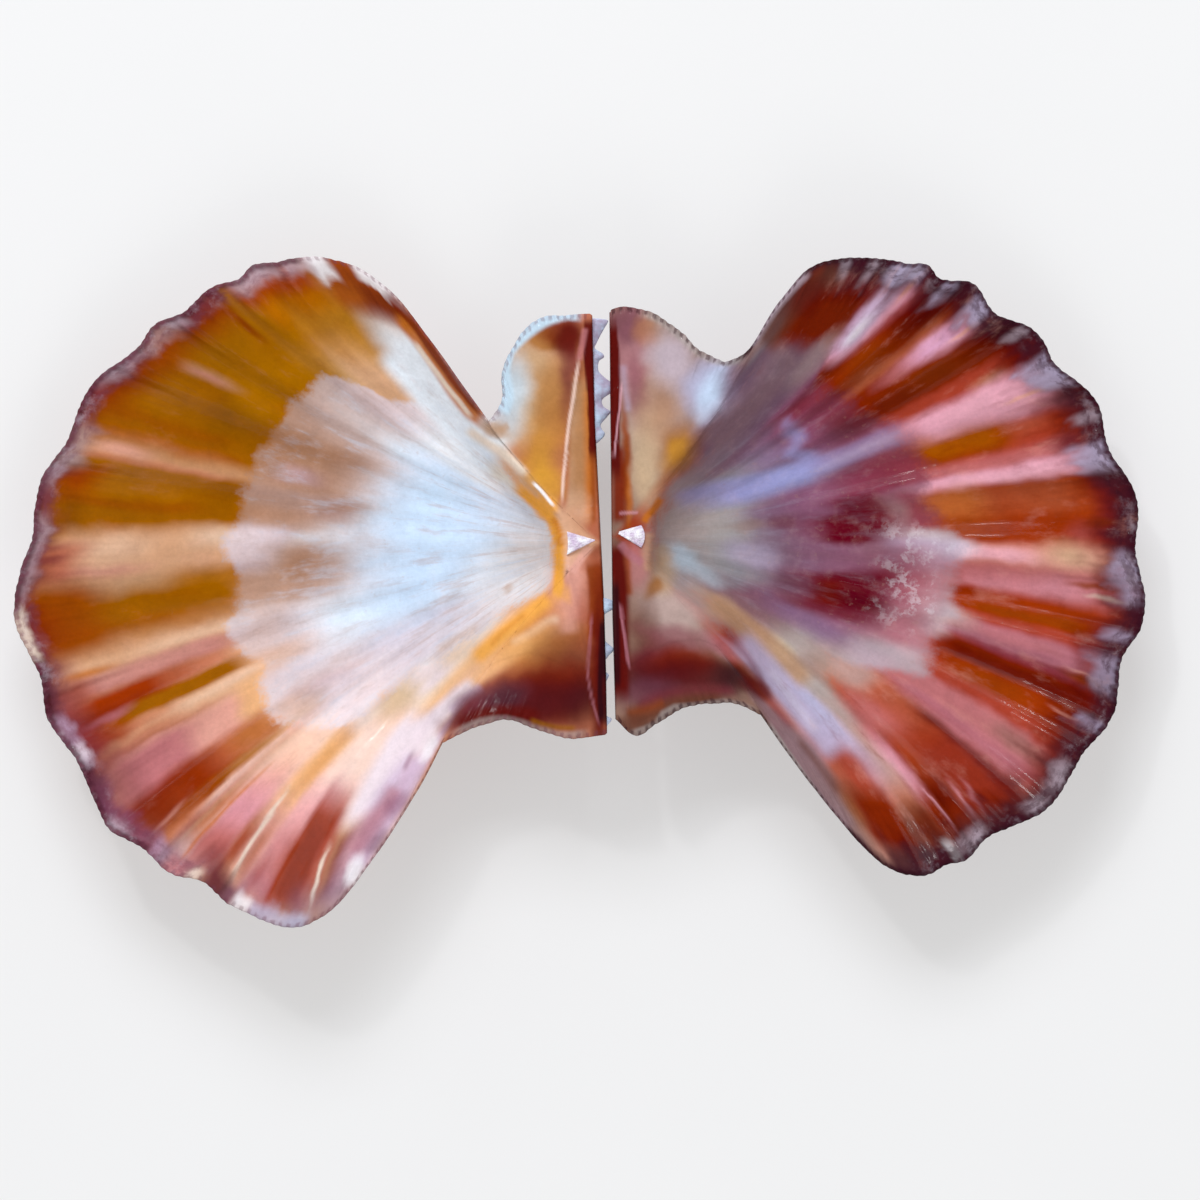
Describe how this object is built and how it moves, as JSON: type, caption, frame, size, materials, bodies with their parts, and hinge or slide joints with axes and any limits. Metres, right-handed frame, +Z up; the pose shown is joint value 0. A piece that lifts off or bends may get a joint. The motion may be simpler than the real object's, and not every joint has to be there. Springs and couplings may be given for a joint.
{
  "type": "scallop shell",
  "caption": "Scallop shell laid open hinge to hinge: both fan-ribbed valves with their glossy insides up, eared at the hinge, each with its scrap of ligament.",
  "frame": {"origin": "on the ground, in the middle of the footprint of both valves", "axes": "+Z up; +X along the object's length, from the right valve across the hinge to the left valve; +Y along the hinge towards the front ears, where the byssal notch is"},
  "size_m": [0.1133, 0.0662, 0.0134],
  "materials": {
    "right_valve": "gloss",
    "left_valve": "gloss",
    "ligament": "matte"
  },
  "bodies": {
    "root": {"right_valve": "right_valve", "left_valve": "left_valve", "right_ligament": "ligament", "left_ligament": "ligament"}
  },
  "joints": []
}
